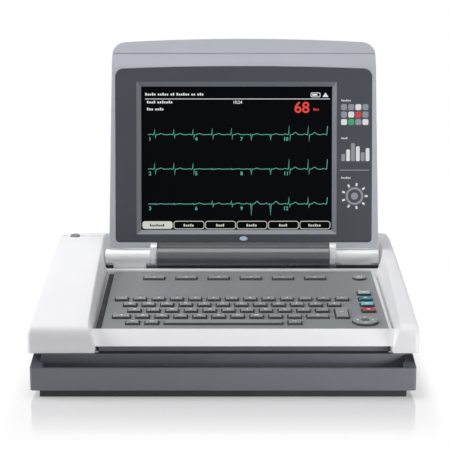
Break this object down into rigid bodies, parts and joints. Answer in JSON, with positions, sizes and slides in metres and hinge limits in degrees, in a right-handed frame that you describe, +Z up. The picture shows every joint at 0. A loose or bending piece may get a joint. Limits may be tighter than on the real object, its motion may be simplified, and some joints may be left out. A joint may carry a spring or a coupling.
{
  "type": "ecg machine",
  "caption": "Portable resting ECG machine: fold-down display over a keyboard deck, side paper drawer with thermal writer, dark base with front carrying handle.",
  "frame": {"origin": "under the middle of the machine, on the surface that it stands on", "axes": "+X to the user's right, +Y to the rear, +Z up"},
  "size_m": [0.381, 0.351, 0.3116],
  "materials": {
    "white_plastic": "fine matt texture",
    "shell_grey": "satin",
    "dark_grey": "fine matt texture",
    "battery_black": "matt",
    "bezel_grey": "satin",
    "deck_grey": "fine matt texture",
    "black_rubber": "matt",
    "socket_black": "matt",
    "steel": "plain",
    "sheet_aluminium": "plain",
    "circuit_green": "solder mask",
    "screen_glass": "dark and smooth",
    "lcd_body": "plain",
    "chart_paper": "plain",
    "key_green": "satin",
    "key_teal": "satin",
    "key_blue": "satin",
    "key_red": "satin",
    "lens_pale": "clear"
  },
  "bodies": {
    "base": {"lower_case": "dark_grey", "front_handle": "dark_grey", "front_foot_rail": "black_rubber", "rear_foot_left": "black_rubber", "rear_foot_right": "black_rubber", "chassis_plate": "sheet_aluminium", "upper_case": "white_plastic", "keyboard_panel": "deck_grey", "keyboard_board": "circuit_green", "main_board": "circuit_green", "power_supply": "sheet_aluminium", "battery_pack": "battery_black", "battery_door": "dark_grey", "mains_inlet": "socket_black", "patient_port": "socket_black", "case_screw_front_left": "steel", "case_screw_front_right": "steel", "case_screw_rear_left": "steel", "case_screw_rear_right": "steel", "hinge_barrel_left": "shell_grey", "hinge_barrel_right": "shell_grey", "hinge_pin_left": "steel", "hinge_pin_right": "steel", "thermal_print_head": "sheet_aluminium", "writer_motor": "sheet_aluminium"},
    "display": {"display_rear_shell": "shell_grey", "display_bezel": "bezel_grey", "lcd_module": "lcd_body", "lcd_glass": "screen_glass", "hinge_cover": "bezel_grey", "display_board": "circuit_green", "status_lens": "lens_pale"},
    "drawer": {"writer_door": "white_plastic", "paper_tray": "sheet_aluminium", "paper_pad": "chart_paper", "roller_bracket": "steel"},
    "platen": {"platen_roller": "black_rubber", "roller_gear": "dark_grey"},
    "pinion": {"motor_gear": "steel"},
    "release_button": {"door_release_button": "dark_grey"},
    "trim_gimbal": {"trim_gimbal": "steel"},
    "trim_pad": {"trim_pad": "deck_grey"},
    "number_row_keys": {"number_row": "deck_grey"},
    "upper_row_keys": {"upper_row": "deck_grey"},
    "home_row_keys": {"home_row": "deck_grey"},
    "lower_row_keys": {"lower_row": "deck_grey"},
    "modifier_row_keys": {"modifier_row": "deck_grey"},
    "space_bar": {"space_bar": "deck_grey"},
    "enter_key": {"enter_key": "deck_grey"},
    "function_key_1": {"function_key_1": "deck_grey"},
    "function_key_2": {"function_key_2": "deck_grey"},
    "function_key_3": {"function_key_3": "deck_grey"},
    "function_key_4": {"function_key_4": "deck_grey"},
    "function_key_5": {"function_key_5": "deck_grey"},
    "function_key_6": {"function_key_6": "deck_grey"},
    "record_key": {"record_key": "key_green"},
    "rhythm_key": {"rhythm_key": "key_teal"},
    "lead_key": {"lead_key": "key_blue"},
    "stop_key": {"stop_key": "key_red"},
    "power_button": {"power_button": "deck_grey"}
  },
  "joints": [
    {"name": "display_hinge", "type": "hinge", "parent": "base", "child": "display", "pos_m": [0.0226, 0.07202, 0.0752], "axis": [1, 0, 0], "range_deg": [-25, 101]},
    {"name": "drawer_slide", "type": "slide", "parent": "base", "child": "drawer", "axis": [-1, 0, 0], "range_m": [0, 0.24]},
    {"name": "platen_spin", "type": "hinge", "parent": "drawer", "child": "platen", "pos_m": [-0.1583, 0, 0.0524], "axis": [0, 1, 0], "continuous": true},
    {"name": "pinion_spin", "type": "hinge", "parent": "base", "child": "pinion", "pos_m": [-0.1478, 0, 0.06739], "axis": [0, 1, 0], "continuous": true},
    {"name": "release_press", "type": "slide", "parent": "drawer", "child": "release_button", "axis": [0, 0, -1], "range_m": [0, 0.0015], "stiffness_N_per_m": 800, "springref_m": -0.001},
    {"name": "number_row_press", "type": "slide", "parent": "base", "child": "number_row_keys", "axis": [0, 0.0246, -0.9997], "range_m": [0, 0.0012], "stiffness_N_per_m": 3000, "springref_m": -0.001},
    {"name": "upper_row_press", "type": "slide", "parent": "base", "child": "upper_row_keys", "axis": [0, 0.0246, -0.9997], "range_m": [0, 0.0012], "stiffness_N_per_m": 3000, "springref_m": -0.001},
    {"name": "home_row_press", "type": "slide", "parent": "base", "child": "home_row_keys", "axis": [0, 0.0246, -0.9997], "range_m": [0, 0.0012], "stiffness_N_per_m": 3000, "springref_m": -0.001},
    {"name": "lower_row_press", "type": "slide", "parent": "base", "child": "lower_row_keys", "axis": [0, 0.0246, -0.9997], "range_m": [0, 0.0012], "stiffness_N_per_m": 3000, "springref_m": -0.001},
    {"name": "modifier_row_press", "type": "slide", "parent": "base", "child": "modifier_row_keys", "axis": [0, 0.0246, -0.9997], "range_m": [0, 0.0012], "stiffness_N_per_m": 3000, "springref_m": -0.001},
    {"name": "space_bar_press", "type": "slide", "parent": "base", "child": "space_bar", "axis": [0, 0.0246, -0.9997], "range_m": [0, 0.0012], "stiffness_N_per_m": 800, "springref_m": -0.001},
    {"name": "enter_key_press", "type": "slide", "parent": "base", "child": "enter_key", "axis": [0, 0.0246, -0.9997], "range_m": [0, 0.0012], "stiffness_N_per_m": 500, "springref_m": -0.001},
    {"name": "function_key_1_press", "type": "slide", "parent": "base", "child": "function_key_1", "axis": [0, 0.0246, -0.9997], "range_m": [0, 0.0012], "stiffness_N_per_m": 500, "springref_m": -0.001},
    {"name": "function_key_2_press", "type": "slide", "parent": "base", "child": "function_key_2", "axis": [0, 0.0246, -0.9997], "range_m": [0, 0.0012], "stiffness_N_per_m": 500, "springref_m": -0.001},
    {"name": "function_key_3_press", "type": "slide", "parent": "base", "child": "function_key_3", "axis": [0, 0.0246, -0.9997], "range_m": [0, 0.0012], "stiffness_N_per_m": 500, "springref_m": -0.001},
    {"name": "function_key_4_press", "type": "slide", "parent": "base", "child": "function_key_4", "axis": [0, 0.0246, -0.9997], "range_m": [0, 0.0012], "stiffness_N_per_m": 500, "springref_m": -0.001},
    {"name": "function_key_5_press", "type": "slide", "parent": "base", "child": "function_key_5", "axis": [0, 0.0246, -0.9997], "range_m": [0, 0.0012], "stiffness_N_per_m": 500, "springref_m": -0.001},
    {"name": "function_key_6_press", "type": "slide", "parent": "base", "child": "function_key_6", "axis": [0, 0.0246, -0.9997], "range_m": [0, 0.0012], "stiffness_N_per_m": 500, "springref_m": -0.001},
    {"name": "record_key_press", "type": "slide", "parent": "base", "child": "record_key", "axis": [0, 0.0246, -0.9997], "range_m": [0, 0.0012], "stiffness_N_per_m": 500, "springref_m": -0.001},
    {"name": "rhythm_key_press", "type": "slide", "parent": "base", "child": "rhythm_key", "axis": [0, 0.0246, -0.9997], "range_m": [0, 0.0012], "stiffness_N_per_m": 500, "springref_m": -0.001},
    {"name": "lead_key_press", "type": "slide", "parent": "base", "child": "lead_key", "axis": [0, 0.0246, -0.9997], "range_m": [0, 0.0012], "stiffness_N_per_m": 500, "springref_m": -0.001},
    {"name": "stop_key_press", "type": "slide", "parent": "base", "child": "stop_key", "axis": [0, 0.0246, -0.9997], "range_m": [0, 0.0012], "stiffness_N_per_m": 500, "springref_m": -0.001},
    {"name": "power_button_press", "type": "slide", "parent": "base", "child": "power_button", "axis": [0, 0.0246, -0.9997], "range_m": [0, 0.0012], "stiffness_N_per_m": 500, "springref_m": -0.001},
    {"name": "trim_tilt_front_back", "type": "hinge", "parent": "base", "child": "trim_gimbal", "pos_m": [0.141, -0.12083, 0.05887], "axis": [1, 0, 0], "range_deg": [-4, 4], "stiffness_Nm_per_rad": 0.06},
    {"name": "trim_tilt_left_right", "type": "hinge", "parent": "trim_gimbal", "child": "trim_pad", "pos_m": [0.141, -0.12083, 0.05887], "axis": [0, 0.9997, 0.0246], "range_deg": [-4, 4], "stiffness_Nm_per_rad": 0.06}
  ],
  "couplings": [
    {"joint": "pinion_spin", "follows": "platen_spin", "ratio": -2}
  ]
}
